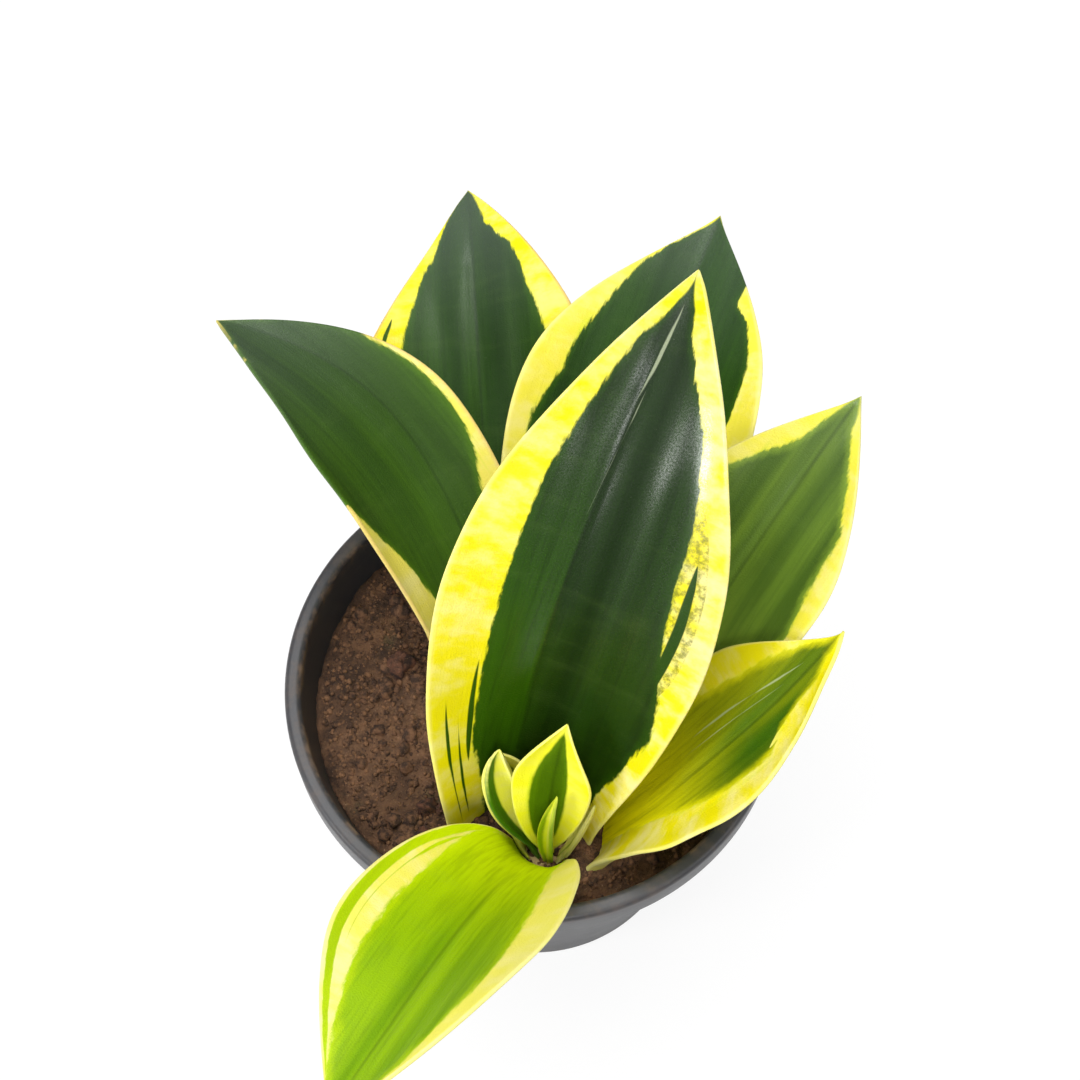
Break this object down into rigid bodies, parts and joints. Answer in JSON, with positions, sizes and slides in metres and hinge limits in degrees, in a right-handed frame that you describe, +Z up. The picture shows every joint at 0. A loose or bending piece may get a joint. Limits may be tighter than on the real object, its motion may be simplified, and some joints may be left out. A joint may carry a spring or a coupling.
{
  "type": "potted snake plant",
  "caption": "Low rosette snake plant with broad channelled, yellow-edged leaves, growing in soil in a round tapered nursery pot with a thick lip.",
  "frame": {"origin": "centre of the pot's underside, on the surface that it stands on", "axes": "+Z up along the pot's axis; +X to the right and +Y away from the side that the tall leaf faces"},
  "size_m": [0.1437, 0.2306, 0.1986],
  "materials": {
    "pot_plastic": "satin",
    "soil": "matte",
    "rhizome": "matte",
    "leaf": "satin",
    "young_leaf": "satin"
  },
  "bodies": {
    "root": {"pot": "pot_plastic", "soil": "soil", "rhizome": "rhizome", "leaf_front_tall": "leaf", "leaf_front_left": "leaf", "leaf_left": "leaf", "leaf_back_left": "leaf", "leaf_back_right": "leaf", "leaf_right": "leaf", "leaf_right_low": "leaf", "young_leaf_left": "young_leaf", "young_leaf_right": "young_leaf", "spear_leaf": "young_leaf", "scale_leaf_left": "young_leaf", "scale_leaf_right": "young_leaf"}
  },
  "joints": []
}
